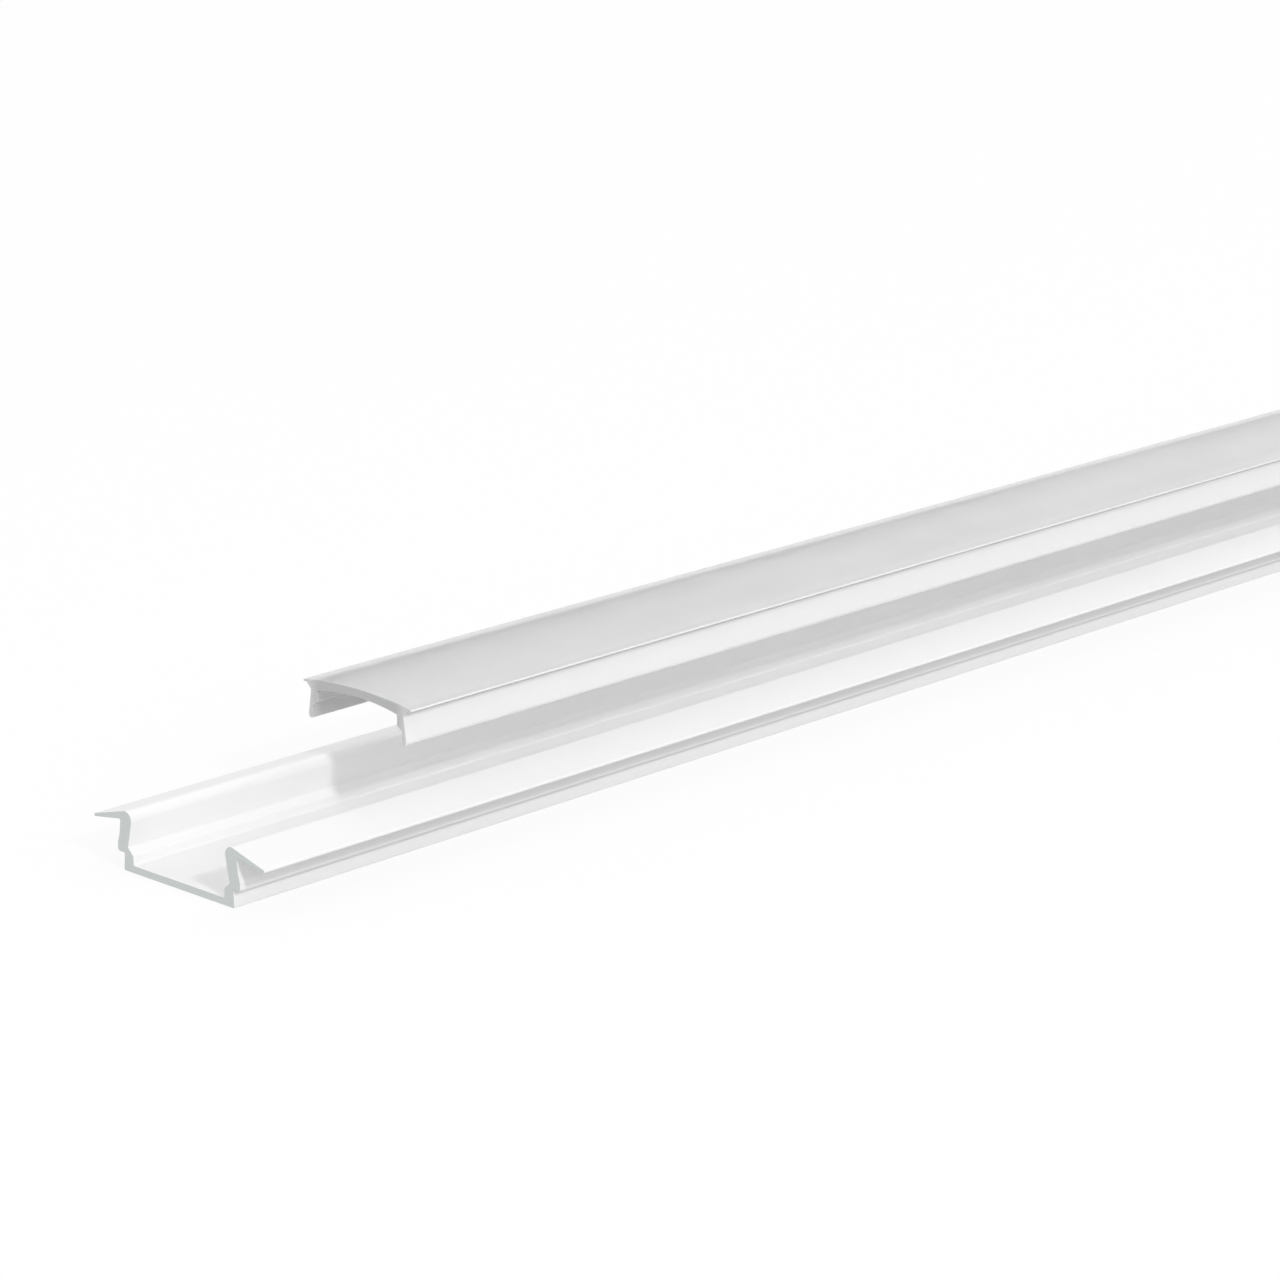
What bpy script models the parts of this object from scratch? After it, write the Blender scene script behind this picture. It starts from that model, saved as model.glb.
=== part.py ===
"""Recessed aluminium profile for an LED strip, with its diffuser cover lifted off.

Metres, +Z up. Both pieces are extrusions: a section in X and Z that runs along Y. The origin is
the centre of the profile's underside. The cover hovers over the profile, set back from its front
end, and comes straight down to clip in.
"""
import math

import bmesh
import bpy
from mathutils import Matrix, Vector

MM = 0.001

# The run
LENGTH = 300.0 * MM  # both pieces are cut to the same length
COVER_SET_BACK = 23.0 * MM  # the cover's front end behind the profile's
COVER_LIFT = 7.9 * MM  # the cover above its clipped-in place

# The bed and the lower walls of the profile
BASE_THICKNESS = 0.72 * MM
BED_WIDTH = 12.9 * MM  # between the lower walls, where the strip is stuck down
BED_FILLET = 0.22 * MM
LOWER_WALL = 1.22 * MM  # thickness under the outside step
FOOT_FLARE = 0.12 * MM  # how far the underside's corner stands out past that wall
FOOT_RADIUS = 0.12 * MM
LEDGE_HEIGHT = 2.32 * MM  # the upper edge of the sloping ledge inside, over the underside
LEDGE_FALL = 0.65 * MM  # how far the ledge falls towards the bed
LEDGE_RADIUS = 0.3 * MM
STEP_DROP = 0.57 * MM  # the step outside lies this far under the ledge's upper edge
STEP_FILLET = 0.14 * MM

# The upper walls of the profile
POCKET_WIDTH = 14.4 * MM  # between the walls at the ledge, where the cover's feet end up
POCKET_FILLET = 0.16 * MM
MOUTH_WIDTH = 13.3 * MM  # between the two rims, the narrowest place
RIM_HEIGHT = 5.9 * MM  # the rims' crests over the underside
RIM_RADIUS = 0.85 * MM
STEP_WALL = 1.43 * MM  # thickness just over the step
STEP_LAND = 0.95 * MM  # height of the straight stretch over the step
STEP_RADIUS = 0.3 * MM
LAND_RADIUS = 0.7 * MM
WAIST_DEPTH = 2.45 * MM  # the waist under the rims' crests
WAIST_WALL = 1.4 * MM
WAIST_RADIUS = 1.6 * MM
ROOT_WALL = 1.56 * MM  # thickness where the flange leaves the wall, measured from the mouth

# The two flanges
OVERALL_WIDTH = 24.0 * MM
FLANGE_DROOP = 1.21 * MM  # the flange's edge under the rims' crests
FLANGE_EDGE = 0.3 * MM  # thickness at the edge
FLANGE_ROOT_DEPTH = 0.9 * MM  # the flange's underside at the wall, under the rims' crests
FLANGE_FILLET = 0.16 * MM
FLANGE_EDGE_RADIUS = 0.13 * MM

# The cover
COVER_SKIN = 0.82 * MM  # thickness in the middle; the arch is thicker towards the legs
CROWN_RISE = 0.54 * MM  # the arch over its two edges
INSIDE_RISE = 0.57 * MM  # the underside of the arch over its ends at the legs
LIP_EDGE = 0.15 * MM  # thickness of the lip at its edge
LIP_EDGE_RADIUS = 0.05 * MM
LIP_OVERHANG = 0.05 * MM  # the lip's edge past the crest of the rim
LIP_FILLET = 0.75 * MM
LEG_ROOT = 0.87 * MM  # thickness of the leg at the arch
LEG_FILLET = 0.2 * MM
SHOULDER_WALL = 0.95 * MM  # thickness of the leg where its inner bevel starts
SHOULDER_HEIGHT = 0.5 * MM
SHOULDER_RADIUS = 0.25 * MM
TOE_WALL = 0.55 * MM
TOE_HEIGHT = 1.3 * MM
TOE_RADIUS = 0.12 * MM
LEAD_IN_HEIGHT = 0.35 * MM
LEAD_IN_DEPTH = 0.15 * MM

# Clearances between the cover and the profile
SEAT_GAP = 0.1 * MM  # lip over rim, when the cover is clipped in
FOOT_CLEARANCE = 0.05 * MM  # each foot to the mouth that it passes
NECK_CLEARANCE = 0.25 * MM  # the top of each leg to the mouth
FOOT_GAP = 0.1 * MM  # the feet over the ledges, when the cover is clipped in

# Fineness of the round stretches
ROUND_ERROR = 0.002 * MM  # how far a facet may cut inside its round
EDGE_SHARE = 0.49  # the most of a straight stretch that the round at one of its ends may take
STRAIGHT = math.radians(1)  # a corner that turns less than this needs no round
SHARP_EDGE = math.radians(30)  # edges that turn more than this are shaded sharp

# Places worked out from the sizes
MOUTH_HALF = MOUTH_WIDTH / 2
RIM_CENTRE = Vector((MOUTH_HALF + RIM_RADIUS, RIM_HEIGHT - RIM_RADIUS))
LIP_HALF = RIM_CENTRE.x + LIP_OVERHANG
SEAT_HEIGHT = RIM_HEIGHT + SEAT_GAP + LIP_EDGE  # the lips' upper edges, when clipped in
LEG_DEPTH = SEAT_HEIGHT - LEDGE_HEIGHT - FOOT_GAP
NECK_HALF = MOUTH_HALF - NECK_CLEARANCE
FOOT_HALF = MOUTH_HALF - FOOT_CLEARANCE


def clear_scene():
    for item in list(bpy.data.objects):
        bpy.data.objects.remove(item, do_unlink=True)


def arc(centre, radius, start, end):
    """Points on a circle from one angle to another, ends included."""
    facet = 2 * math.acos(1 - ROUND_ERROR / radius)
    segments = max(2, math.ceil(abs(end - start) / facet))
    angles = [start + (end - start) * step / segments for step in range(segments + 1)]
    return [centre + radius * Vector((math.cos(angle), math.sin(angle))) for angle in angles]


def tangent_angle(centre, radius, point, side):
    """Angle on a circle where the line from an outside point touches it; side is 1 or -1."""
    away = point - centre
    return math.atan2(away.y, away.x) + side * math.acos(radius / away.length)


def fillet(before, corner, after, radius):
    """Points of the round at a corner, kept within its share of the two stretches that meet there."""
    inward = (corner - before).normalized()
    outward = (after - corner).normalized()
    turn = math.atan2(inward.cross(outward), inward.dot(outward))
    if abs(turn) < STRAIGHT:
        return [corner]
    spread = math.tan(abs(turn) / 2)
    room = EDGE_SHARE * min((corner - before).length, (after - corner).length)
    radius = min(radius, room / spread)
    start = corner - inward * radius * spread
    centre = start + math.copysign(radius, turn) * Vector((-inward.y, inward.x))
    first = math.atan2(start.y - centre.y, start.x - centre.x)
    return arc(centre, radius, first, first + turn)


def rounded(corners):
    """An open outline from (point, radius) pairs; a radius of 0 keeps the corner sharp."""
    outline = []
    for place, (corner, radius) in enumerate(corners):
        if radius and 0 < place < len(corners) - 1:
            outline += fillet(corners[place - 1][0], corner, corners[place + 1][0], radius)
        else:
            outline.append(corner)
    return outline


def mirrored(half):
    """The closed outline from its right half, which starts and ends on the middle line."""
    left = [Vector((-point.x, point.y)) for point in reversed(half[1:-1])]
    return half + left


def profile_half():
    """Right half of the profile's section, counter-clockwise from the middle of the underside."""
    bed = BED_WIDTH / 2
    pocket = POCKET_WIDTH / 2
    lower = bed + LOWER_WALL
    step = LEDGE_HEIGHT - STEP_DROP
    land = pocket + STEP_WALL
    waist = RIM_HEIGHT - WAIST_DEPTH
    edge = OVERALL_WIDTH / 2
    edge_top = RIM_HEIGHT - FLANGE_DROOP
    ledge_corner = Vector((pocket, LEDGE_HEIGHT))
    flange_corner = Vector((edge, edge_top))

    # The inner wall runs straight from the rim to the ledge, so the waist follows its lean.
    lean = (pocket - MOUTH_HALF) / (RIM_CENTRE.y - LEDGE_HEIGHT)
    waist_half = MOUTH_HALF + lean * (RIM_CENTRE.y - waist) + WAIST_WALL

    rim_start = tangent_angle(RIM_CENTRE, RIM_RADIUS, flange_corner, 1)
    rim_end = tangent_angle(RIM_CENTRE, RIM_RADIUS, ledge_corner, -1) % math.tau
    rim = arc(RIM_CENTRE, RIM_RADIUS, rim_start, rim_end)

    outside = [
        (Vector((0, 0)), 0),
        (Vector((lower + FOOT_FLARE, 0)), FOOT_RADIUS),
        (Vector((lower, step)), STEP_FILLET),
        (Vector((land, step)), STEP_RADIUS),
        (Vector((land, step + STEP_LAND)), LAND_RADIUS),
        (Vector((waist_half, waist)), WAIST_RADIUS),
        (Vector((MOUTH_HALF + ROOT_WALL, RIM_HEIGHT - FLANGE_ROOT_DEPTH)), FLANGE_FILLET),
        (Vector((edge, edge_top - FLANGE_EDGE)), FLANGE_EDGE_RADIUS),
        (flange_corner, FLANGE_EDGE_RADIUS),
    ]
    inside = [
        (ledge_corner, POCKET_FILLET),
        (Vector((bed, LEDGE_HEIGHT - LEDGE_FALL)), LEDGE_RADIUS),
        (Vector((bed, BASE_THICKNESS)), BED_FILLET),
        (Vector((0, BASE_THICKNESS)), 0),
    ]
    return rounded(outside + [(point, 0) for point in rim] + inside)


def arch(half_span, rise, crown):
    """Centre and radius of the circle that rises over a half span, up to the height of its crown."""
    radius = (half_span**2 + rise**2) / (2 * rise)
    return Vector((0, crown - radius)), radius


def cover_half():
    """Right half of the cover's section, from the middle of its inside; Z is 0 at the lips' edges."""
    leg_inside = NECK_HALF - LEG_ROOT
    outer_centre, outer_radius = arch(LIP_HALF, CROWN_RISE, CROWN_RISE)
    inner_centre, inner_radius = arch(leg_inside, INSIDE_RISE, CROWN_RISE - COVER_SKIN)
    top = math.radians(90)

    inside_arch = arc(inner_centre, inner_radius, top, math.acos(leg_inside / inner_radius))
    outside_arch = arc(outer_centre, outer_radius, math.acos(LIP_HALF / outer_radius), top)

    # The leg's outer face flares from the neck under the lip to the foot.
    foot_top = LEG_DEPTH - LEAD_IN_HEIGHT
    shoulder_depth = LEG_DEPTH - TOE_HEIGHT - SHOULDER_HEIGHT
    flare = (FOOT_HALF - NECK_HALF) / (foot_top - LIP_EDGE)
    shoulder_half = NECK_HALF + flare * (shoulder_depth - LIP_EDGE) - SHOULDER_WALL
    toe_half = FOOT_HALF - TOE_WALL

    leg = [
        (inside_arch[-1], LEG_FILLET),
        (Vector((shoulder_half, -shoulder_depth)), SHOULDER_RADIUS),
        (Vector((toe_half, TOE_HEIGHT - LEG_DEPTH)), SHOULDER_RADIUS),
        (Vector((toe_half, -LEG_DEPTH)), TOE_RADIUS),
        (Vector((FOOT_HALF - LEAD_IN_DEPTH, -LEG_DEPTH)), TOE_RADIUS),
        (Vector((FOOT_HALF, -foot_top)), TOE_RADIUS),
        (Vector((NECK_HALF, -LIP_EDGE)), LIP_FILLET),
        (Vector((LIP_HALF, -LIP_EDGE)), LIP_EDGE_RADIUS),
        (outside_arch[0], LIP_EDGE_RADIUS),
    ]
    before = [(point, 0) for point in inside_arch[:-1]]
    after = [(point, 0) for point in outside_arch[1:]]
    return rounded(before + leg + after)


def principled(name, colour, roughness, metallic=0.0, transmission=0.0):
    material = bpy.data.materials.new(name)
    material.use_nodes = True
    shader = material.node_tree.nodes["Principled BSDF"]
    shader.inputs["Base Color"].default_value = (*colour, 1.0)
    shader.inputs["Roughness"].default_value = roughness
    shader.inputs["Metallic"].default_value = metallic
    shader.inputs["Transmission Weight"].default_value = transmission
    return material


def extruded(name, outline, length, materials):
    """A section run along Y, its middle at Y = 0; the second material is for the cut ends."""
    shape = bmesh.new()
    corners = [shape.verts.new((point.x, -length / 2, point.y)) for point in outline]
    front = shape.faces.new(corners)
    back = bmesh.ops.extrude_face_region(shape, geom=[front])["geom"]
    moved = [item for item in back if isinstance(item, bmesh.types.BMVert)]
    bmesh.ops.translate(shape, vec=(0, length, 0), verts=moved)
    bmesh.ops.recalc_face_normals(shape, faces=shape.faces)
    for face in shape.faces:
        face.material_index = 1 if len(face.verts) == len(outline) else 0

    mesh = bpy.data.meshes.new(name)
    shape.to_mesh(mesh)
    shape.free()
    for material in materials:
        mesh.materials.append(material)
    mesh.shade_smooth()
    mesh.set_sharp_from_angle(angle=SHARP_EDGE)
    piece = bpy.data.objects.new(name, mesh)
    bpy.context.collection.objects.link(piece)
    return piece


def build():
    clear_scene()
    lacquer = principled("white_lacquer", (0.86, 0.86, 0.86), 0.35)
    bare = principled("sawn_aluminium", (0.56, 0.58, 0.59), 0.45, metallic=0.9)
    frosted = principled("frosted_plastic", (0.84, 0.85, 0.86), 0.3, transmission=0.4)
    cut_plastic = principled("cut_plastic", (0.72, 0.73, 0.74), 0.5)

    extruded("profile", mirrored(profile_half()), LENGTH, (lacquer, bare))
    cover = extruded("diffuser_cover", mirrored(cover_half()), LENGTH, (frosted, cut_plastic))

    # The cover's own origin lies on the line that it is lifted along.
    cover.matrix_world = Matrix.Translation((0, COVER_SET_BACK, SEAT_HEIGHT + COVER_LIFT))


build()
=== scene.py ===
"""Recessed aluminium profile for an LED strip, with its diffuser cover lifted off above it.

Both pieces are extrusions that run along Y. Each section is drawn as a line of straight and round
stretches, mirrored, filled, and pulled out to its length. The sizes are in metres, in the frame of
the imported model, with +Z up and the origin at the centre of the profile's underside.
"""
import math

import bmesh
import bpy
from bpy.props import FloatProperty, FloatVectorProperty, PointerProperty
from bpy.types import Operator, Panel, PropertyGroup
from mathutils import Matrix, Vector


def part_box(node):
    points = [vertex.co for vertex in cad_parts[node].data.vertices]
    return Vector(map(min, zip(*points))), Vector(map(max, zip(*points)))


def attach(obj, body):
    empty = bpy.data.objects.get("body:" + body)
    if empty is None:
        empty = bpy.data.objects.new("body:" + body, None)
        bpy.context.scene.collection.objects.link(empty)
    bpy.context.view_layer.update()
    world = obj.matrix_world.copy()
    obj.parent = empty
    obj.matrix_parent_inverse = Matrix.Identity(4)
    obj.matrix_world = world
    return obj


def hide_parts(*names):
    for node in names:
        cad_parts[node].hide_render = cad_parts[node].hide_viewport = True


bl_info = {
    "name": "LED Strip Profile",
    "version": (1, 0, 0),
    "blender": (4, 5, 0),
    "location": "View3D > Sidebar > LED Profile",
    "description": "Builds a recessed LED strip profile with its clip-in diffuser cover",
    "category": "Add Mesh",
}

MM = 0.001
UM = 0.000001

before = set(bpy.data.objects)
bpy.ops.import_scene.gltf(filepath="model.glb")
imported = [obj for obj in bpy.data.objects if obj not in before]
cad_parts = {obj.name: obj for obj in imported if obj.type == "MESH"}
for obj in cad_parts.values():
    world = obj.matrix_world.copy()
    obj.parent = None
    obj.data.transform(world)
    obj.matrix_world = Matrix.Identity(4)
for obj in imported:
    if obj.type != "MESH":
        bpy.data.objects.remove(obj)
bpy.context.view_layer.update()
PROFILE_LOW, PROFILE_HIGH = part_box("profile")
COVER_LOW, COVER_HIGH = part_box("diffuser_cover")

# Fineness of the round stretches
ROUND_ERROR = 0.0005 * MM  # how far a facet may cut inside its round
WIDEST_FACET = math.radians(6)
STRAIGHT = math.radians(1)  # a corner that turns less than this needs no round
EDGE_SHARE = 0.49  # the most of a straight stretch that the round at one of its ends may take
SHARP_EDGE = math.radians(30)
EDGE_BREAK = 0.03 * MM  # the burr is taken off the saw cuts this far
MERGE_DISTANCE = 0.0001 * MM
FILLET_ROOM, EDGE_ROOM = 2, 4  # the radii by which the cover's two arches stop short of a round
SLANT = 0.5  # share of a face's normal from which on it counts as facing that way
# The last of these places holds the plastic painted darker, as painted shade, on the legs' insides and
# under the lips.
ON_ARCH, SAWN, ON_LEG, IN_HOLLOW_PAINTED_SHADE = range(4)  # places in a piece's list of materials
COUNTER_CLOCKWISE = Vector((0, -1, 0))  # the axis of turns as the section is seen from the front

# Places of a Mix node's sockets for colours, and the part of the range 0 to 1 that soft noise fills
MIX_FACTOR, MIX_A, MIX_B, MIX_RESULT = 0, 6, 7, 2
NOISE_LOW, NOISE_HIGH = 0.3, 0.7

# The patterns in the materials: lines are drawn out along the run, and fine spots have more detail
ALONG_THE_RUN = (1, 0.004, 1)
FINE_DETAIL = 3

# The lacquer: sizes of its spots, depths of its relief, and how far its tone and gloss vary
LACQUER_CLOUDS = 30 * MM
LACQUER_CLOUD_SHADE = 0.012
LACQUER_GLOSS_SPOTS = 6 * MM
LACQUER_ROUGHNESS = (0.36, 0.44)
ORANGE_PEEL = 0.9 * MM
ORANGE_PEEL_DEPTH = 3 * UM
DIE_LINE_WIDTH = 0.35 * MM
DIE_LINE_DEPTH = 0.6 * UM

# The opal plastic
PLASTIC_CLOUDS = 25 * MM
PLASTIC_CLOUD_SHADE = 0.02
PLASTIC_GLOSS_SPOTS = 8 * MM
PLASTIC_ROUGHNESS = (0.55, 0.65)
PLASTIC_GRAIN = 0.5 * MM
PLASTIC_GRAIN_DEPTH = 0.3 * UM
DRAW_LINE_WIDTH = 1.2 * MM
DRAW_LINE_DEPTH = 0.2 * UM
SCATTER_DISTANCE = 0.25 * MM
PLASTIC_IOR = 1.49
SKIN_ROUGHNESS = 0.14
ARCH_WITHIN = 5.4 * MM  # from the middle of the cover to where the arch turns milky
LEGS_BEYOND = 6.6 * MM
CLEAR_TRANSMISSION = 0.97
LIP_TRANSMISSION = 0.5
MILKY_TRANSMISSION = 0.12

# The saw cuts
BLADE_RADIUS = 125 * MM
SAW_FEED = 0.25 * MM
SAW_GRAIN = 0.15 * MM
ARC_WOBBLE = 1.5
ARC_WOBBLE_SCALE = 2
CUT_GLOSS_CHANGE = 0.06
MARK_SHADE = 0.1
# Painted shade: the middle of the arch's cut ends is painted darker than the legs' cut ends.
ARCH_CUT_PAINTED_SHADE = 0.21  # share by which the arch's cut ends are darker than the legs'
METAL_CUT_ROUGHNESS = 0.45
METAL_CUT_DEPTH = 4 * UM
PLASTIC_CUT_ROUGHNESS = 0.5
PLASTIC_CUT_DEPTH = 3 * UM
WAVE_UNITS = 20  # a Wave texture's bands repeat this many radians a metre at scale 1

# The studio
LOOKED_AT = Vector((0, -80 * MM, 6 * MM))
LAMP_DISTANCE = 1.6
KEY_DIRECTION = (1, -0.28, 0.7)
KEY_SIZE = 0.12
RIM_DIRECTION = (-0.1, 0.7, 0.7)
RIM_SIZE = 0.3
SENSOR_WIDTH = 36
NEAREST_SEEN = 10 * MM
FARTHEST_SEEN = 32
FLOOR_REACH = 8
FLOOR_GAP = 0.05 * MM
WHITE = (1, 1, 1, 1)
FLOOR_COLOUR = (0.95, 0.95, 0.95, 1)
FLOOR_BOUNCE = (0.65, 0.65, 0.65, 1)
FLOOR_WHITENESS = 0.88
WORLD_STRENGTH = 0.975
LEFT_SKY = ((0, 0.85), (14, 0.7), (23, 0.88), (31, 1.08), (39, 1.1), (60, 0.78), (90, 0.77))
RIGHT_SKY = (
    (0, 0.8), (11, 0.85), (17, 1.1), (20, 1.4), (26, 1.38), (31, 1.0), (45, 0.78), (90, 0.78))
WALL_SIDE = math.radians(203)  # from +X towards +Y
WALL_HEIGHT = math.radians(28)
WALL_TONE = 0.75


# Sizes and colours

class ProfileSizes(PropertyGroup):
    """Sizes of the aluminium profile's section."""

    base_thickness: FloatProperty(
        name="Base thickness", description="Metal under the bed",
        default=0.72 * MM, unit="LENGTH", precision=5)
    bed_width: FloatProperty(
        name="Bed width", description="Between the lower walls, where the strip is stuck down",
        default=12.9 * MM, unit="LENGTH", precision=5)
    bed_fillet: FloatProperty(
        name="Bed fillet", description="Round between the bed and the lower walls",
        default=0.22 * MM, unit="LENGTH", precision=5)
    lower_wall: FloatProperty(
        name="Lower wall", description="Thickness under the outside step",
        default=1.22 * MM, unit="LENGTH", precision=5)
    foot_flare: FloatProperty(
        name="Foot flare", description="How far the underside's corner stands out past the wall",
        default=0.12 * MM, unit="LENGTH", precision=5)
    foot_radius: FloatProperty(
        name="Foot radius", description="Round at the underside's corner",
        default=0.12 * MM, unit="LENGTH", precision=5)
    ledge_height: FloatProperty(
        name="Ledge height", description="Upper edge of the sloping ledge inside",
        default=2.32 * MM, unit="LENGTH", precision=5)
    ledge_fall: FloatProperty(
        name="Ledge fall", description="How far the ledge falls towards the bed",
        default=0.65 * MM, unit="LENGTH", precision=5)
    ledge_radius: FloatProperty(
        name="Ledge radius", description="Round at the ledge's lower edge",
        default=0.3 * MM, unit="LENGTH", precision=5)
    step_drop: FloatProperty(
        name="Step drop", description="The outside step under the ledge's upper edge",
        default=0.57 * MM, unit="LENGTH", precision=5)
    step_fillet: FloatProperty(
        name="Step fillet", description="Round in the corner under the step",
        default=0.14 * MM, unit="LENGTH", precision=5)
    step_wall: FloatProperty(
        name="Step wall", description="Thickness just over the step",
        default=1.43 * MM, unit="LENGTH", precision=5)
    step_land: FloatProperty(
        name="Step land", description="Height of the straight stretch over the step",
        default=0.95 * MM, unit="LENGTH", precision=5)
    step_radius: FloatProperty(
        name="Step radius", description="Round at the step's outer edge",
        default=0.3 * MM, unit="LENGTH", precision=5)
    land_radius: FloatProperty(
        name="Land radius", description="Round where the wall leans in over the step",
        default=0.7 * MM, unit="LENGTH", precision=5)
    pocket_width: FloatProperty(
        name="Pocket width", description="Between the walls at the ledge",
        default=14.4 * MM, unit="LENGTH", precision=5)
    pocket_fillet: FloatProperty(
        name="Pocket fillet", description="Round in the corner over the ledge",
        default=0.16 * MM, unit="LENGTH", precision=5)
    mouth_width: FloatProperty(
        name="Mouth width", description="Between the two rims, the narrowest place",
        default=13.3 * MM, unit="LENGTH", precision=5)
    rim_radius: FloatProperty(
        name="Rim radius", description="Round of the rims that the cover clips behind",
        default=0.85 * MM, unit="LENGTH", precision=5)
    waist_depth: FloatProperty(
        name="Waist depth", description="The waist under the rims' crests",
        default=2.45 * MM, unit="LENGTH", precision=5)
    waist_wall: FloatProperty(
        name="Waist wall", description="Thickness at the waist",
        default=1.4 * MM, unit="LENGTH", precision=5)
    waist_radius: FloatProperty(
        name="Waist radius", description="Round at the waist",
        default=1.6 * MM, unit="LENGTH", precision=5)
    root_wall: FloatProperty(
        name="Root wall", description="Thickness where the flange leaves the wall",
        default=1.56 * MM, unit="LENGTH", precision=5)
    flange_root_depth: FloatProperty(
        name="Flange root depth", description="The flange's underside at the wall, under the rims",
        default=0.9 * MM, unit="LENGTH", precision=5)
    flange_droop: FloatProperty(
        name="Flange droop", description="The flange's edge under the rims' crests",
        default=1.21 * MM, unit="LENGTH", precision=5)
    flange_edge: FloatProperty(
        name="Flange edge", description="Thickness at the flange's edge",
        default=0.3 * MM, unit="LENGTH", precision=5)
    flange_fillet: FloatProperty(
        name="Flange fillet", description="Round in the corner under the flange",
        default=0.16 * MM, unit="LENGTH", precision=5)
    flange_edge_radius: FloatProperty(
        name="Flange edge radius", description="Round at the flange's edge",
        default=0.13 * MM, unit="LENGTH", precision=5)


class CoverSizes(PropertyGroup):
    """Sizes of the diffuser cover's section."""

    half_width: FloatProperty(
        name="Half width", description="From the middle to the edge of a lip",
        default=COVER_HIGH.x, unit="LENGTH", precision=5)
    skin: FloatProperty(
        name="Skin", description="Thickness of the arch in its middle",
        default=0.82 * MM, unit="LENGTH", precision=5)
    crown_rise: FloatProperty(
        name="Crown rise", description="The arch over its two edges",
        default=0.54 * MM, unit="LENGTH", precision=5)
    inside_rise: FloatProperty(
        name="Inside rise", description="The underside of the arch over its ends at the legs",
        default=0.57 * MM, unit="LENGTH", precision=5)
    lip_edge: FloatProperty(
        name="Lip edge", description="Thickness of the lip at its edge",
        default=0.2 * MM, unit="LENGTH", precision=5)
    lip_edge_radius: FloatProperty(
        name="Lip edge radius", description="Round at the lip's edge",
        default=0.05 * MM, unit="LENGTH", precision=5)
    lip_hollow: FloatProperty(
        name="Lip hollow", description="Reach of the slope between the lip and the leg, both ways",
        default=0.62 * MM, unit="LENGTH", precision=5)
    hollow_radius: FloatProperty(
        name="Hollow radius", description="Rounds at both ends of that slope",
        default=0.3 * MM, unit="LENGTH", precision=5)
    neck_half: FloatProperty(
        name="Neck half width", description="From the middle to the leg's outer face, at its top",
        default=6.48 * MM, unit="LENGTH", precision=5)
    foot_half: FloatProperty(
        name="Foot half width", description="From the middle to the leg's outer face, at its foot",
        default=6.85 * MM, unit="LENGTH", precision=5)
    leg_root: FloatProperty(
        name="Leg root", description="Thickness of the leg at the arch",
        default=0.87 * MM, unit="LENGTH", precision=5)
    leg_fillet: FloatProperty(
        name="Leg fillet", description="Round between the arch and the leg, inside",
        default=0.2 * MM, unit="LENGTH", precision=5)
    shoulder_wall: FloatProperty(
        name="Shoulder wall", description="Thickness of the leg where its inner bevel starts",
        default=1.05 * MM, unit="LENGTH", precision=5)
    shoulder_height: FloatProperty(
        name="Shoulder height", description="Height of the inner bevel",
        default=0.5 * MM, unit="LENGTH", precision=5)
    shoulder_radius: FloatProperty(
        name="Shoulder radius", description="Rounds of the inner bevel",
        default=0.25 * MM, unit="LENGTH", precision=5)
    toe_wall: FloatProperty(
        name="Toe wall", description="Thickness of the leg under the bevel",
        default=0.57 * MM, unit="LENGTH", precision=5)
    toe_height: FloatProperty(
        name="Toe height", description="Height of the thin part of the leg",
        default=1.3 * MM, unit="LENGTH", precision=5)
    toe_radius: FloatProperty(
        name="Toe radius", description="Rounds at the foot",
        default=0.12 * MM, unit="LENGTH", precision=5)
    lead_in_height: FloatProperty(
        name="Lead-in height", description="Height of the bevel that leads the foot in",
        default=0.35 * MM, unit="LENGTH", precision=5)
    lead_in_depth: FloatProperty(
        name="Lead-in depth", description="Depth of the bevel that leads the foot in",
        default=0.15 * MM, unit="LENGTH", precision=5)


class Finish(PropertyGroup):
    """Colours of the five surfaces."""

    lacquer: FloatVectorProperty(
        name="Lacquer", description="White powder lacquer on the profile",
        default=(0.88, 0.88, 0.88), subtype="COLOR", min=0, max=1)
    bare_metal: FloatVectorProperty(
        name="Bare metal", description="Aluminium where the saw went through",
        default=(0.615, 0.65, 0.64), subtype="COLOR", min=0, max=1)
    plastic: FloatVectorProperty(
        name="Plastic", description="Opal plastic of the diffuser cover",
        default=(0.95, 0.95, 0.95), subtype="COLOR", min=0, max=1)
    # Painted shade: the legs' insides and the hollow under the lips are painted darker than the rest of
    # the cover, for the shade that falls there.
    painted_shade_inside_plastic: FloatVectorProperty(
        name="Inside plastic", description="Opal plastic on the legs' insides and under the lips",
        default=(0.58, 0.58, 0.58), subtype="COLOR", min=0, max=1)
    cut_plastic: FloatVectorProperty(
        name="Cut plastic", description="Opal plastic where the saw went through",
        default=(0.7, 0.7, 0.71), subtype="COLOR", min=0, max=1)


class Studio(PropertyGroup):
    """Where the camera stands, and how strong the lights are."""

    place: FloatVectorProperty(
        name="Camera place", description="Where the camera stands",
        default=(286.838 * MM, -394.825 * MM, 132.43 * MM), subtype="TRANSLATION", unit="LENGTH")
    azimuth: FloatProperty(
        name="Azimuth", description="Turn of the camera from the view along the profile",
        default=math.radians(42.976), subtype="ANGLE")
    pitch: FloatProperty(
        name="Pitch", description="How far the camera looks down",
        default=math.radians(16.063), subtype="ANGLE")
    roll: FloatProperty(
        name="Roll", description="Turn of the camera about the line that it looks along",
        default=math.radians(0.423), subtype="ANGLE")
    lens: FloatProperty(
        name="Lens", description="Focal length on a 36 mm wide sensor, in millimetres",
        default=119.34)
    key_level: FloatProperty(
        name="Key level", description="Brightness that the side light adds on white facing it",
        default=0.3)
    rim_level: FloatProperty(
        name="Rim level", description="Brightness that the back light adds on white facing it",
        default=0.06)


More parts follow.
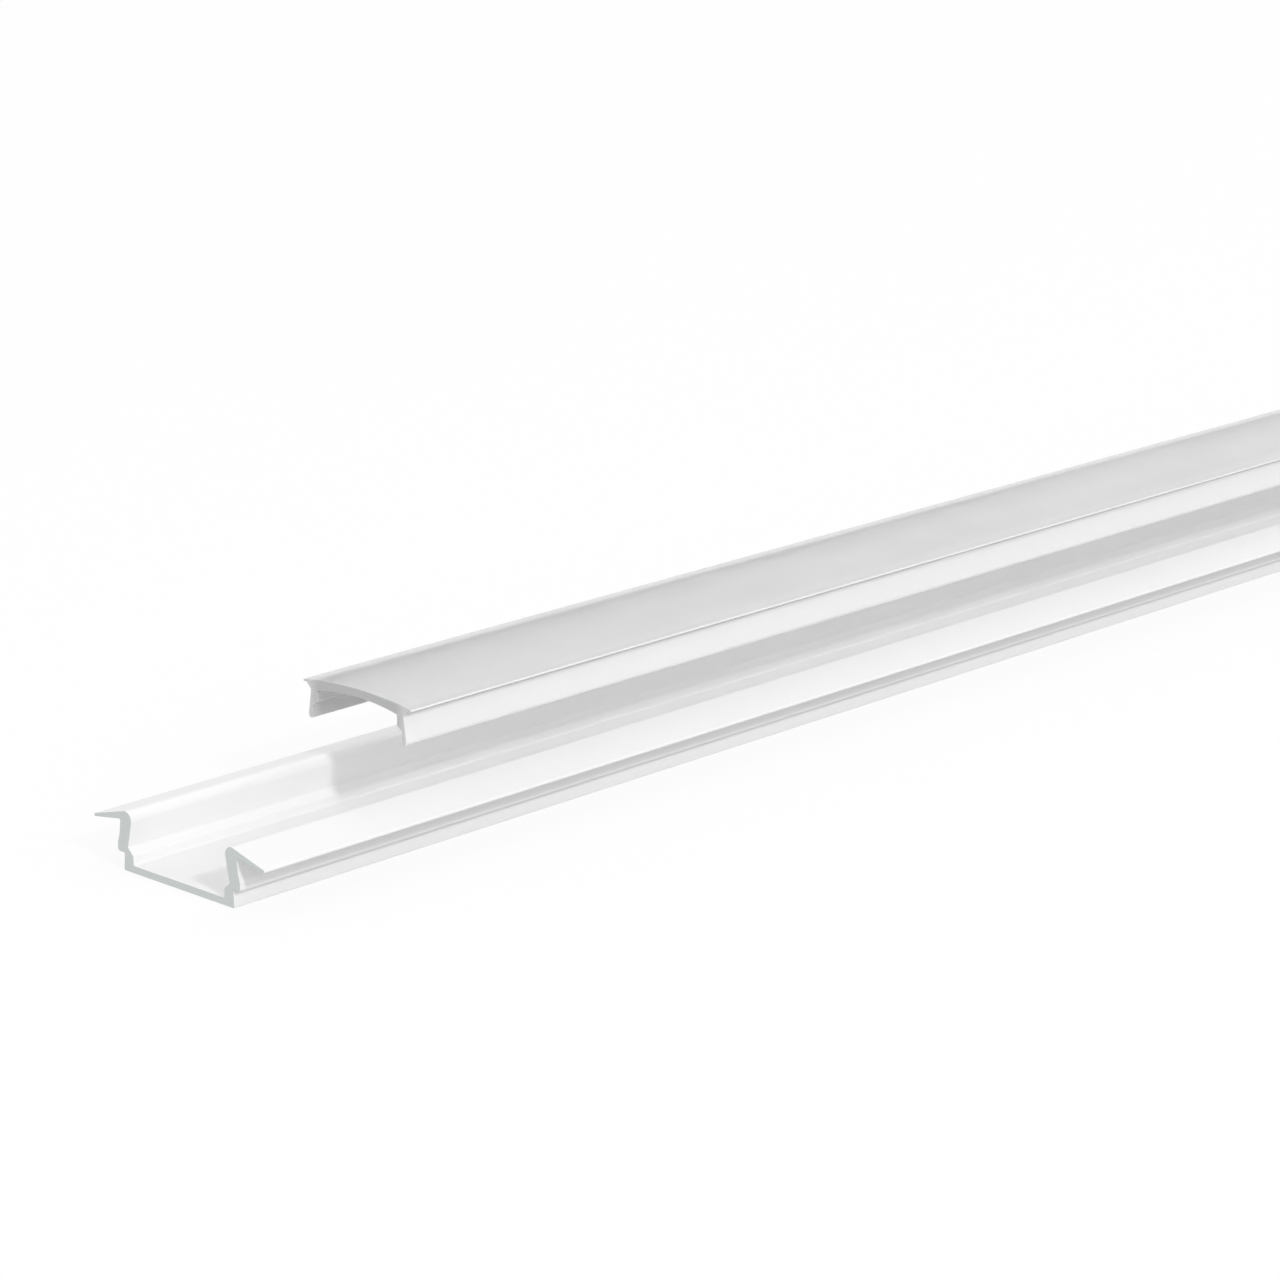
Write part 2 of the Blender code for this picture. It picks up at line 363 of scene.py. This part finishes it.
class LedProfileSettings(PropertyGroup):
    """Everything that the panel shows."""

    profile: PointerProperty(type=ProfileSizes)
    cover: PointerProperty(type=CoverSizes)
    finish: PointerProperty(type=Finish)
    studio: PointerProperty(type=Studio)


# Drawing a section

def pull(shape, tip, point):
    """Pulls a straight stretch out of the tip, and returns the new tip."""
    tip = bmesh.ops.extrude_vert_indiv(shape, verts=[tip])["verts"][0]
    tip.co = point
    return tip


def swing(shape, tip, centre, turn):
    """Spins a round stretch out of the tip about a centre, and returns the new tip."""
    radius = (tip.co - centre).length
    facet = min(WIDEST_FACET, 2 * math.acos(1 - ROUND_ERROR / radius))
    steps = max(2, math.ceil(abs(turn) / facet))
    spun = bmesh.ops.spin(
        shape, geom=[tip], cent=centre, axis=COUNTER_CLOCKWISE, angle=turn, steps=steps)
    return spun["geom_last"][0]


def angle_of(direction):
    """Angle of a direction in the section, from +X towards +Z."""
    return math.atan2(direction.z, direction.x)


def direction_at(angle):
    """Direction in the section at an angle from +X towards +Z."""
    return Vector((math.cos(angle), 0, math.sin(angle)))


def draw(shape, tip, corners):
    """Draws straight stretches from the tip over (point, radius) corners, with a round at each."""
    for (before, _), (corner, radius), (after, _) in zip(corners, corners[1:], corners[2:]):
        inward = (corner - before).normalized()
        outward = (after - corner).normalized()
        turn = math.remainder(angle_of(outward) - angle_of(inward), math.tau)
        if abs(turn) < STRAIGHT:
            tip = pull(shape, tip, corner)
            continue
        spread = math.tan(abs(turn) / 2)
        room = EDGE_SHARE * min((corner - before).length, (after - corner).length)
        radius = min(radius, room / spread)
        start = corner - inward * radius * spread
        to_centre = direction_at(angle_of(inward) + math.copysign(math.pi / 2, turn))
        tip = pull(shape, tip, start)
        tip = swing(shape, tip, start + to_centre * radius, turn)
    return pull(shape, tip, corners[-1][0])


def tangent_corner(centre, radius, before, after):
    """The corner of the two lines from outside points that touch a circle on its far side."""
    spokes = []
    for point, side in ((before, 1), (after, -1)):
        away = point - centre
        spokes.append(radius * direction_at(angle_of(away) + side * math.acos(radius / away.length)))
    first, second = spokes
    return centre + (first + second) * radius**2 / (radius**2 + first.dot(second))


def section_point(x, z):
    """A point of the section, or a step from one point to another."""
    return Vector((x, 0, z))


# Making a piece out of a half section

def filled(shape):
    """Mirrors the half line over to the left and fills the closed outline."""
    bmesh.ops.mirror(
        shape, geom=shape.verts[:] + shape.edges[:], axis="X", merge_dist=MERGE_DISTANCE)
    return bmesh.ops.edgeloop_fill(shape, edges=shape.edges[:])["faces"][0]


def extruded(name, shape, low, high, materials, material_of=None):
    """Pulls a filled section out from y = low to y = high.

    The first material is for the long faces, and the second one for the cuts. Where there are more,
    material_of chooses one for each long face.
    """
    section = filled(shape)
    bmesh.ops.translate(shape, vec=(0, low + EDGE_BREAK, 0), verts=shape.verts[:])
    pulled = bmesh.ops.extrude_face_region(shape, geom=[section])["geom"]
    bmesh.ops.translate(
        shape, vec=(0, high - low - 2 * EDGE_BREAK, 0),
        verts=[item for item in pulled if isinstance(item, bmesh.types.BMVert)])
    bmesh.ops.recalc_face_normals(shape, faces=shape.faces[:])

    cuts = [face for face in shape.faces if abs(face.normal.y) > SLANT]
    if material_of:
        for face in shape.faces:
            face.material_index = material_of(face)
    breaks = bmesh.ops.inset_region(
        shape, faces=cuts, thickness=EDGE_BREAK, depth=EDGE_BREAK, use_even_offset=True)["faces"]
    for face in cuts + breaks:
        face.material_index = SAWN
    bmesh.ops.triangulate(shape, faces=cuts, ngon_method="BEAUTY")

    mesh = bpy.data.meshes.new(name)
    shape.to_mesh(mesh)
    shape.free()
    for material in materials:
        mesh.materials.append(material)
    mesh.shade_smooth()
    mesh.set_sharp_from_angle(angle=SHARP_EDGE)
    piece = bpy.data.objects.new(name, mesh)
    bpy.context.scene.collection.objects.link(piece)
    flats = piece.modifiers.new("flat_faces_shade_flat", "WEIGHTED_NORMAL")
    flats.keep_sharp = True
    return piece


def profile_line(shape, sizes, rim_height, half_width):
    """Draws the right half of the profile's section, from the middle of the underside."""
    bed = sizes.bed_width / 2
    pocket = sizes.pocket_width / 2
    mouth = sizes.mouth_width / 2
    lower = bed + sizes.lower_wall
    step = sizes.ledge_height - sizes.step_drop
    land = pocket + sizes.step_wall
    waist = rim_height - sizes.waist_depth
    edge_top = rim_height - sizes.flange_droop
    rim_centre = section_point(mouth + sizes.rim_radius, rim_height - sizes.rim_radius)

    # The inner wall runs straight from the rim to the ledge, so the waist follows its lean.
    lean = (pocket - mouth) / (rim_centre.z - sizes.ledge_height)
    waist_half = mouth + lean * (rim_centre.z - waist) + sizes.waist_wall

    flange_tip = section_point(half_width, edge_top)
    ledge_corner = section_point(pocket, sizes.ledge_height)
    rim_corner = tangent_corner(rim_centre, sizes.rim_radius, flange_tip, ledge_corner)
    corners = [
        (section_point(0, 0), 0),
        (section_point(lower + sizes.foot_flare, 0), sizes.foot_radius),
        (section_point(lower, step), sizes.step_fillet),
        (section_point(land, step), sizes.step_radius),
        (section_point(land, step + sizes.step_land), sizes.land_radius),
        (section_point(waist_half, waist), sizes.waist_radius),
        (section_point(mouth + sizes.root_wall, rim_height - sizes.flange_root_depth),
         sizes.flange_fillet),
        (section_point(half_width, edge_top - sizes.flange_edge), sizes.flange_edge_radius),
        (flange_tip, sizes.flange_edge_radius),
        (rim_corner, sizes.rim_radius),
        (ledge_corner, sizes.pocket_fillet),
        (section_point(bed, sizes.ledge_height - sizes.ledge_fall), sizes.ledge_radius),
        (section_point(bed, sizes.base_thickness), sizes.bed_fillet),
        (section_point(0, sizes.base_thickness), 0),
    ]
    draw(shape, shape.verts.new(corners[0][0]), corners)


def arch(half_span, rise, crown):
    """Centre and radius of the circle that rises over a half span, up to the height of its crown."""
    radius = (half_span**2 + rise**2) / (2 * rise)
    return section_point(0, crown - radius), radius


def cover_line(shape, sizes, foot, crown):
    """Draws the right half of the cover's section, from the middle of its inside."""
    lips = crown - sizes.crown_rise
    leg_inside = sizes.neck_half - sizes.leg_root
    outer_centre, outer_radius = arch(sizes.half_width, sizes.crown_rise, crown)
    inner_centre, inner_radius = arch(leg_inside, sizes.inside_rise, crown - sizes.skin)

    # The arches stop short of their corners by the length that the rounds there need.
    inner_turn = math.asin(leg_inside / inner_radius)
    inner_stop = inner_turn - FILLET_ROOM * sizes.leg_fillet / inner_radius
    outer_turn = math.asin(sizes.half_width / outer_radius)
    outer_start = outer_turn - EDGE_ROOM * sizes.lip_edge_radius / outer_radius

    # The leg's outer face flares from the neck under the lip to the foot.
    foot_top = foot + sizes.lead_in_height
    toe_top = foot + sizes.toe_height
    shoulder = toe_top + sizes.shoulder_height
    lip_under = lips - sizes.lip_edge
    neck = lip_under - sizes.lip_hollow
    flare = (sizes.foot_half - sizes.neck_half) / (neck - foot_top)
    shoulder_half = sizes.neck_half + flare * (neck - shoulder) - sizes.shoulder_wall
    toe_half = sizes.foot_half - sizes.toe_wall

    tip = shape.verts.new(inner_centre + section_point(0, inner_radius))
    tip = swing(shape, tip, inner_centre, -inner_stop)
    corners = [
        (tip.co.copy(), 0),
        (inner_centre + inner_radius * direction_at(math.pi / 2 - inner_turn), sizes.leg_fillet),
        (section_point(shoulder_half, shoulder), sizes.shoulder_radius),
        (section_point(toe_half, toe_top), sizes.shoulder_radius),
        (section_point(toe_half, foot), sizes.toe_radius),
        (section_point(sizes.foot_half - sizes.lead_in_depth, foot), sizes.toe_radius),
        (section_point(sizes.foot_half, foot_top), sizes.toe_radius),
        (section_point(sizes.neck_half, neck), sizes.hollow_radius),
        (section_point(sizes.neck_half + sizes.lip_hollow, lip_under), sizes.hollow_radius),
        (section_point(sizes.half_width, lip_under), sizes.lip_edge_radius),
        (section_point(sizes.half_width, lips), sizes.lip_edge_radius),
        (outer_centre + outer_radius * direction_at(math.pi / 2 - outer_start), 0),
    ]
    tip = draw(shape, tip, corners)
    swing(shape, tip, outer_centre, outer_start)


def cover_material(face, neck_half):
    """Place of a long face's plastic in the list of the cover's materials."""
    middle = face.calc_center_median()
    outward = face.normal.x * math.copysign(1, middle.x)
    upper = middle.z > (COVER_LOW.z + COVER_HIGH.z) / 2
    on_lip = abs(middle.x) > neck_half
    faces_down = upper and face.normal.z < -SLANT
    # Faces turned inwards and the undersides of the lips get the plastic painted darker as shade.
    if outward < -SLANT or (faces_down and on_lip):
        return IN_HOLLOW_PAINTED_SHADE
    if faces_down or face.normal.z > SLANT:
        return ON_ARCH
    return ON_LEG


# Materials

class Nodes:
    """Adds and joins the nodes of one material or world."""

    def __init__(self, owner):
        owner.use_nodes = True
        self.tree = owner.node_tree

    def add(self, kind, values=(), **settings):
        """A node with its settings, and its inputs given as (input, number or output) pairs."""
        node = self.tree.nodes.new(kind)
        for name, value in settings.items():
            setattr(node, name, value)
        for name, value in values:
            if isinstance(value, bpy.types.NodeSocket):
                self.tree.links.new(value, node.inputs[name])
            else:
                node.inputs[name].default_value = value
        return node

    def calculate(self, kind, first, second=0.0):
        """One step of arithmetic."""
        return self.add(
            "ShaderNodeMath", [(0, first), (1, second)], operation=kind).outputs["Value"]

    def seen(self):
        """1 where the background is seen, also by reflection or through plastic, and 0 for its light."""
        rays = self.add("ShaderNodeLightPath").outputs
        return self.calculate("MAXIMUM", rays["Is Camera Ray"], self.calculate(
            "MAXIMUM", rays["Is Glossy Ray"], rays["Is Transmission Ray"]))

    def place(self, centre=(0, 0, 0), stretch=(1, 1, 1)):
        """The place on the piece in metres, counted from a centre and then stretched."""
        return self.add("ShaderNodeMapping", [
            ("Vector", self.add("ShaderNodeTexCoord").outputs["Object"]),
            ("Location", [-length * factor for length, factor in zip(centre, stretch)]),
            ("Scale", stretch)]).outputs["Vector"]

    def noise(self, place, size, detail=2):
        """Soft noise about 0.5, with spots of a size in metres."""
        return self.add("ShaderNodeTexNoise", [
            ("Vector", place), ("Scale", 1 / size), ("Detail", detail)]).outputs["Fac"]

    def aside(self, place):
        """0 on the cover's arch, rising to 1 over its legs and lips."""
        x = self.add("ShaderNodeSeparateXYZ", [("Vector", place)]).outputs["X"]
        return self.add("ShaderNodeMapRange", [
            ("Value", self.calculate("ABSOLUTE", x)),
            ("From Min", ARCH_WITHIN), ("From Max", LEGS_BEYOND)]).outputs["Result"]

    def spread(self, value, low, high):
        """A noise spread from low to high."""
        return self.add("ShaderNodeMapRange", [
            ("Value", value), ("From Min", NOISE_LOW), ("From Max", NOISE_HIGH),
            ("To Min", low), ("To Max", high)]).outputs["Result"]

    def tint(self, value, colour, change):
        """The colour, darkened by a share where the value is 1."""
        darker = [channel * (1 - change) for channel in colour]
        return self.add("ShaderNodeMix", [
            (MIX_FACTOR, value), (MIX_A, (*colour, 1)), (MIX_B, (*darker, 1))],
            data_type="RGBA").outputs[MIX_RESULT]

    def relief(self, height, depth, below=None):
        """Bumps of a depth in metres, on top of others."""
        values = [("Height", height), ("Distance", depth)]
        if below:
            values.append(("Normal", below))
        return self.add("ShaderNodeBump", values).outputs["Normal"]


def surface(name, **constants):
    """A material with one Principled shader, whose constant inputs are set on its own sockets."""
    material = bpy.data.materials.new(name)
    nodes = Nodes(material)
    shader = nodes.tree.nodes["Principled BSDF"]
    for socket, value in constants.items():
        shader.inputs[socket.replace("_", " ")].default_value = value

    def connect(socket, output):
        nodes.tree.links.new(output, shader.inputs[socket])

    return material, nodes, connect


def white_lacquer(colour):
    """Powder lacquer: a fine orange peel over the faint lines that the die left in the metal."""
    material, nodes, connect = surface("white_lacquer")
    place = nodes.place()
    along = nodes.place(stretch=ALONG_THE_RUN)
    clouds = nodes.noise(place, LACQUER_CLOUDS)
    gloss = nodes.noise(place, LACQUER_GLOSS_SPOTS, FINE_DETAIL)
    connect("Base Color", nodes.tint(nodes.spread(clouds, 0, 1), colour, LACQUER_CLOUD_SHADE))
    connect("Roughness", nodes.spread(gloss, *LACQUER_ROUGHNESS))
    lines = nodes.relief(nodes.noise(along, DIE_LINE_WIDTH, FINE_DETAIL), DIE_LINE_DEPTH)
    connect("Normal", nodes.relief(nodes.noise(place, ORANGE_PEEL), ORANGE_PEEL_DEPTH, lines))
    return material


def sawn(name, colour, roughness, depth, metallic=0.0, middle_painted_shade=0.0):
    """A saw cut: the shallow arcs of a round blade, with a little tear-out between them, and a painted
    shade that darkens its middle by a given share.
    """
    material, nodes, connect = surface(name, Metallic=metallic)
    blade = nodes.place(centre=(0, 0, -BLADE_RADIUS))
    arcs = nodes.add("ShaderNodeTexWave", [
        ("Vector", blade), ("Scale", math.tau / (WAVE_UNITS * SAW_FEED)),
        ("Distortion", ARC_WOBBLE), ("Detail", FINE_DETAIL), ("Detail Scale", ARC_WOBBLE_SCALE)],
        wave_type="RINGS", rings_direction="Y").outputs["Fac"]
    grain = nodes.noise(nodes.place(), SAW_GRAIN, FINE_DETAIL)
    marks = nodes.calculate("MULTIPLY", nodes.calculate("ADD", arcs, grain), 0.5)
    # The saw marks are real, but the darker middle over the arch is painted shade.
    middle = nodes.calculate("SUBTRACT", 1.0, nodes.aside(nodes.place()))
    marks_and_painted_shade = (nodes.calculate("MULTIPLY", marks, MARK_SHADE),
              nodes.calculate("MULTIPLY", middle, middle_painted_shade))
    connect("Base Color", nodes.tint(nodes.calculate("ADD", *marks_and_painted_shade), colour, 1.0))
    connect("Roughness", nodes.spread(
        marks, roughness - CUT_GLOSS_CHANGE, roughness + CUT_GLOSS_CHANGE))
    connect("Normal", nodes.relief(marks, depth))
    return material


def opal_plastic(name, colour, clear, at_lips=None):
    """Glossy opal plastic, with the share of light that it lets through, also at its lips."""
    material, nodes, connect = surface(
        name, Transmission_Weight=clear, IOR=PLASTIC_IOR,
        Subsurface_Weight=1.0, Subsurface_Radius=(1, 1, 1), Subsurface_Scale=SCATTER_DISTANCE,
        Coat_Weight=1.0, Coat_Roughness=SKIN_ROUGHNESS, Coat_IOR=PLASTIC_IOR)
    place = nodes.place()
    along = nodes.place(stretch=ALONG_THE_RUN)
    clouds = nodes.noise(place, PLASTIC_CLOUDS)
    gloss = nodes.noise(place, PLASTIC_GLOSS_SPOTS, FINE_DETAIL)
    connect("Base Color", nodes.tint(nodes.spread(clouds, 0, 1), colour, PLASTIC_CLOUD_SHADE))
    connect("Roughness", nodes.spread(gloss, *PLASTIC_ROUGHNESS))
    if at_lips is not None:
        connect("Transmission Weight", nodes.add("ShaderNodeMapRange", [
            ("Value", nodes.aside(place)),
            ("To Min", clear), ("To Max", at_lips)]).outputs["Result"])
    lines = nodes.relief(nodes.noise(along, DRAW_LINE_WIDTH), DRAW_LINE_DEPTH)
    connect("Normal", nodes.relief(nodes.noise(place, PLASTIC_GRAIN), PLASTIC_GRAIN_DEPTH, lines))
    return material


# Operators

def settings(context):
    """The sizes, colours and levels that the panel shows."""
    return context.scene.led_profile


class LEDPROFILE_OT_profile(Operator):
    """Build the white lacquered aluminium profile."""

    bl_idname = "led_profile.profile"
    bl_label = "Aluminium profile"

    def execute(self, context):
        chosen = settings(context)
        finish = chosen.finish
        shape = bmesh.new()
        profile_line(shape, chosen.profile, PROFILE_HIGH.z, PROFILE_HIGH.x)
        piece = extruded("aluminium_profile", shape, PROFILE_LOW.y, PROFILE_HIGH.y, (
            white_lacquer(finish.lacquer),
            sawn("sawn_aluminium", finish.bare_metal, METAL_CUT_ROUGHNESS, METAL_CUT_DEPTH,
                 metallic=1.0)))
        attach(piece, "profile")
        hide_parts("profile")
        return {"FINISHED"}


class LEDPROFILE_OT_cover(Operator):
    """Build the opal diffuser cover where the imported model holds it."""

    bl_idname = "led_profile.cover"
    bl_label = "Diffuser cover"

    def execute(self, context):
        chosen = settings(context)
        finish = chosen.finish
        shape = bmesh.new()
        cover_line(shape, chosen.cover, COVER_LOW.z, COVER_HIGH.z)
        piece = extruded("opal_diffuser_cover", shape, COVER_LOW.y, COVER_HIGH.y, (
            opal_plastic("opal_arch", finish.plastic, CLEAR_TRANSMISSION, LIP_TRANSMISSION),
            sawn("sawn_plastic", finish.cut_plastic, PLASTIC_CUT_ROUGHNESS, PLASTIC_CUT_DEPTH,
                 middle_painted_shade=ARCH_CUT_PAINTED_SHADE),
            opal_plastic("opal_legs", finish.plastic, MILKY_TRANSMISSION),
            # The insides carry painted shade: a darker colour for the shade in the hollows.
            opal_plastic("opal_insides_painted_shade", finish.painted_shade_inside_plastic, MILKY_TRANSMISSION, 0.0)),
            lambda face: cover_material(face, chosen.cover.neck_half))
        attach(piece, "cover")
        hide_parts("diffuser_cover")
        return {"FINISHED"}


def softbox(name, towards, size, level):
    """A square lamp in a direction from the object; level is what it adds on white that faces it."""
    lamp = bpy.data.lights.new(name, "AREA")
    lamp.size = size
    lamp.energy = level * (math.pi * LAMP_DISTANCE)**2
    light = bpy.data.objects.new(name, lamp)
    direction = Vector(towards).normalized()
    light.location = LOOKED_AT + direction * LAMP_DISTANCE
    light.rotation_euler = direction.to_track_quat("Z", "Y").to_euler()
    bpy.context.scene.collection.objects.link(light)


def studio_world():
    """White where it is seen. Its light comes from a low wall, a bright band and a soft ceiling."""
    world = bpy.data.worlds.new("studio")
    bpy.context.scene.world = world
    nodes = Nodes(world)
    nodes.tree.nodes.clear()
    split = nodes.add("ShaderNodeSeparateXYZ", [
        ("Vector", nodes.add("ShaderNodeTexCoord").outputs["Generated"])])
    x, y, z = (split.outputs[axis] for axis in "XYZ")

    # The ceiling runs along the profile, so its tone goes by the height seen across the run.
    squares = [nodes.calculate("POWER", length, 2) for length in (x, z)]
    across = nodes.calculate("SQRT", nodes.calculate("ADD", *squares))
    height = nodes.calculate("DIVIDE", z, across)
    skies = []
    for tones in (LEFT_SKY, RIGHT_SKY):
        ramp = nodes.add("ShaderNodeValToRGB", [("Fac", height)])
        skies.append(ramp.outputs["Color"])
        stops = ramp.color_ramp.elements
        for degrees, tone in tones[1:-1]:
            stops.new(math.sin(math.radians(degrees))).color = (tone, tone, tone, 1)
        for stop, (degrees, tone) in zip((stops[0], stops[-1]), (tones[0], tones[-1])):
            stop.position = math.sin(math.radians(degrees))
            stop.color = (tone, tone, tone, 1)
    sky = nodes.add("ShaderNodeMix", [
        (MIX_FACTOR, nodes.calculate("GREATER_THAN", x, 0.0)),
        (MIX_A, skies[0]), (MIX_B, skies[1])],
        data_type="RGBA").outputs[MIX_RESULT]

    # The low wall stands at the left, and its upper edge is level.
    reaches = (nodes.calculate("MULTIPLY", x, math.cos(WALL_SIDE)),
               nodes.calculate("MULTIPLY", y, math.sin(WALL_SIDE)))
    wall_top = nodes.calculate(
        "MULTIPLY", nodes.calculate("ADD", *reaches), math.tan(WALL_HEIGHT))
    low = nodes.calculate("LESS_THAN", z, wall_top)
    tone = nodes.add("ShaderNodeMix", [
        (MIX_FACTOR, low), (MIX_A, sky), (MIX_B, (WALL_TONE, WALL_TONE, WALL_TONE, 1))],
        data_type="RGBA").outputs[MIX_RESULT]
    light = nodes.add("ShaderNodeBackground", [("Color", tone), ("Strength", WORLD_STRENGTH)])
    white = nodes.add("ShaderNodeBackground", [("Color", WHITE), ("Strength", 1.0)])
    both = nodes.add("ShaderNodeMixShader", [
        (0, nodes.seen()), (1, light.outputs["Background"]), (2, white.outputs["Background"])])
    nodes.add("ShaderNodeOutputWorld", [("Surface", both.outputs["Shader"])])


def floor():
    """A white floor that shows white wherever no shadow falls on it."""
    shape = bmesh.new()
    bmesh.ops.create_grid(shape, x_segments=1, y_segments=1, size=FLOOR_REACH)
    bmesh.ops.translate(shape, vec=(0, 0, PROFILE_LOW.z - FLOOR_GAP), verts=shape.verts[:])
    mesh = bpy.data.meshes.new("floor")
    shape.to_mesh(mesh)
    shape.free()
    material = bpy.data.materials.new("floor")
    nodes = Nodes(material)
    nodes.tree.nodes.clear()
    seen = nodes.seen()
    colour = nodes.add("ShaderNodeMix", [
        (MIX_FACTOR, seen), (MIX_A, FLOOR_BOUNCE), (MIX_B, FLOOR_COLOUR)],
        data_type="RGBA").outputs[MIX_RESULT]
    paint = nodes.add("ShaderNodeBsdfDiffuse", [("Color", colour)])
    white = nodes.add("ShaderNodeEmission", [("Color", WHITE), ("Strength", 1.0)])
    both = nodes.add("ShaderNodeMixShader", [
        (0, nodes.calculate("MULTIPLY", seen, FLOOR_WHITENESS)),
        (1, paint.outputs["BSDF"]), (2, white.outputs["Emission"])])
    nodes.add("ShaderNodeOutputMaterial", [("Surface", both.outputs["Shader"])])
    mesh.materials.append(material)
    ground = bpy.data.objects.new("floor", mesh)
    bpy.context.scene.collection.objects.link(ground)


def camera(studio):
    """Stands the camera where the photograph was taken from."""
    lens = bpy.data.cameras.new("camera")
    lens.sensor_width = SENSOR_WIDTH
    lens.lens = studio.lens
    lens.clip_start = NEAREST_SEEN
    lens.clip_end = FARTHEST_SEEN
    eye = bpy.data.objects.new("camera", lens)
    eye.matrix_world = (
        Matrix.Translation(studio.place)
        @ Matrix.Rotation(studio.azimuth, 4, "Z")
        @ Matrix.Rotation(math.pi / 2 - studio.pitch, 4, "X")
        @ Matrix.Rotation(studio.roll, 4, "Z"))
    bpy.context.scene.collection.objects.link(eye)
    bpy.context.scene.camera = eye


class LEDPROFILE_OT_studio(Operator):
    """Set up the white floor, the lights and the camera."""

    bl_idname = "led_profile.studio"
    bl_label = "Studio"

    def execute(self, context):
        studio = settings(context).studio
        context.scene.view_settings.view_transform = "Standard"
        camera(studio)
        floor()
        studio_world()
        softbox("side_softbox", KEY_DIRECTION, KEY_SIZE, studio.key_level)
        softbox("back_softbox", RIM_DIRECTION, RIM_SIZE, studio.rim_level)
        return {"FINISHED"}


class LEDPROFILE_PT_panel(Panel):
    """Sizes, colours and the buttons that build each piece."""

    bl_idname = "LEDPROFILE_PT_panel"
    bl_label = "LED Profile"
    bl_space_type = "VIEW_3D"
    bl_region_type = "UI"
    bl_category = "LED Profile"

    def draw(self, context):
        chosen = settings(context)
        for title, group, operator in (
                ("Profile", chosen.profile, LEDPROFILE_OT_profile),
                ("Cover", chosen.cover, LEDPROFILE_OT_cover),
                ("Finish", chosen.finish, None),
                ("Studio", chosen.studio, LEDPROFILE_OT_studio)):
            box = self.layout.box()
            box.label(text=title)
            for name in group.bl_rna.properties.keys():
                if name not in ("rna_type", "name"):
                    box.prop(group, name)
            if operator:
                box.operator(operator.bl_idname)


CLASSES = (
    ProfileSizes, CoverSizes, Finish, Studio, LedProfileSettings,
    LEDPROFILE_OT_profile, LEDPROFILE_OT_cover, LEDPROFILE_OT_studio, LEDPROFILE_PT_panel,
)


def register():
    for item in CLASSES:
        bpy.utils.register_class(item)
    bpy.types.Scene.led_profile = PointerProperty(type=LedProfileSettings)


def unregister():
    del bpy.types.Scene.led_profile
    for item in reversed(CLASSES):
        bpy.utils.unregister_class(item)


def main():
    register()
    bpy.ops.led_profile.studio()
    bpy.ops.led_profile.profile()
    bpy.ops.led_profile.cover()


if __name__ == "__main__":
    main()
